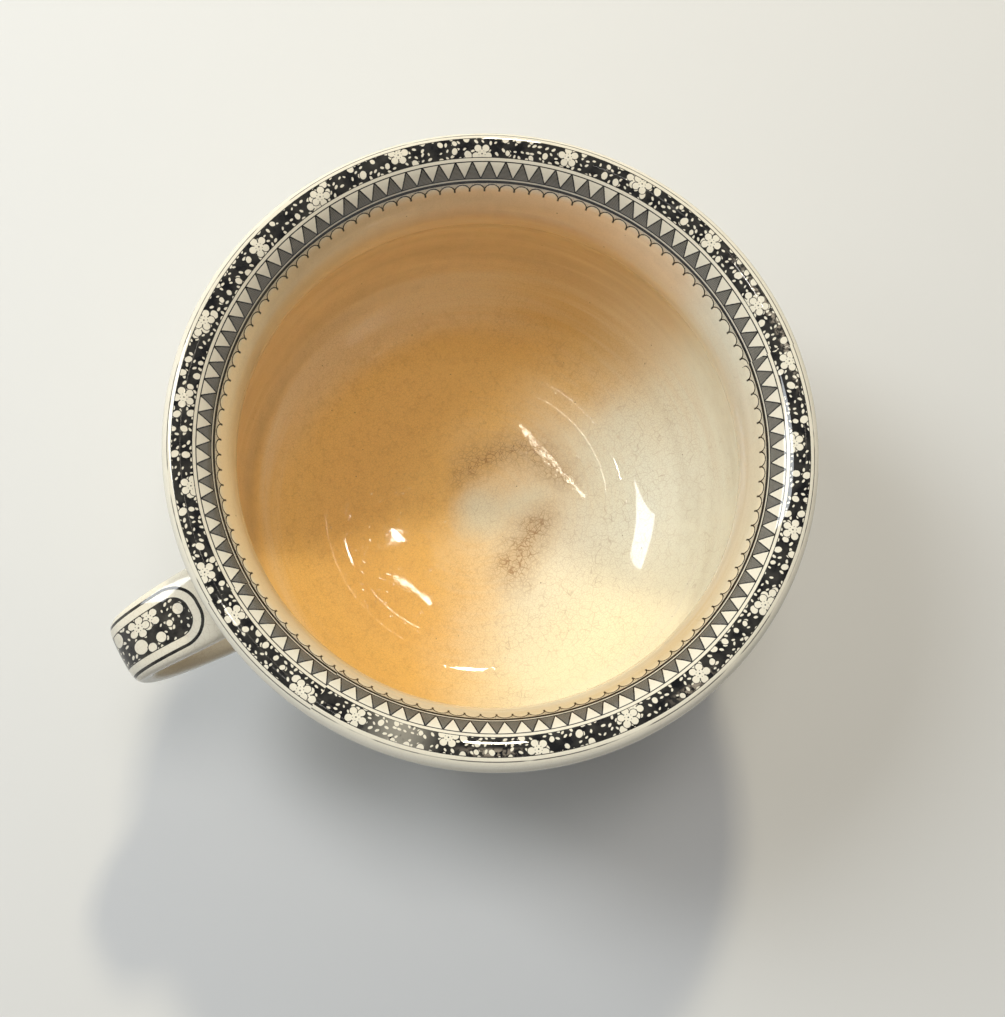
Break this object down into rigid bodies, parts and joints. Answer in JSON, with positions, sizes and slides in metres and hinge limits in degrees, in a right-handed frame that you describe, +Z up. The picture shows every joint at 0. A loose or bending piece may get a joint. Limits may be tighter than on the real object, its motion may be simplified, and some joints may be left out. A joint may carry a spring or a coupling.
{
  "type": "chamber pot",
  "caption": "Bellied glazed earthenware pot with a wide turned-out printed rim and a strap handle, used as a bedroom chamber pot.",
  "frame": {"origin": "on the bowl's axis, in the plane that the foot ring stands on", "axes": "+Z up along the bowl's axis, +X towards the handle, the handle's middle plane is y = 0"},
  "size_m": [0.2875, 0.25, 0.142],
  "materials": {
    "glaze": "ivory lead glaze with a black transfer print",
    "slip": "liquid clay fired under the glaze"
  },
  "bodies": {
    "root": {"bowl": "glaze", "handle": "glaze", "upper_slip": "slip", "lower_slip": "slip"}
  },
  "joints": []
}
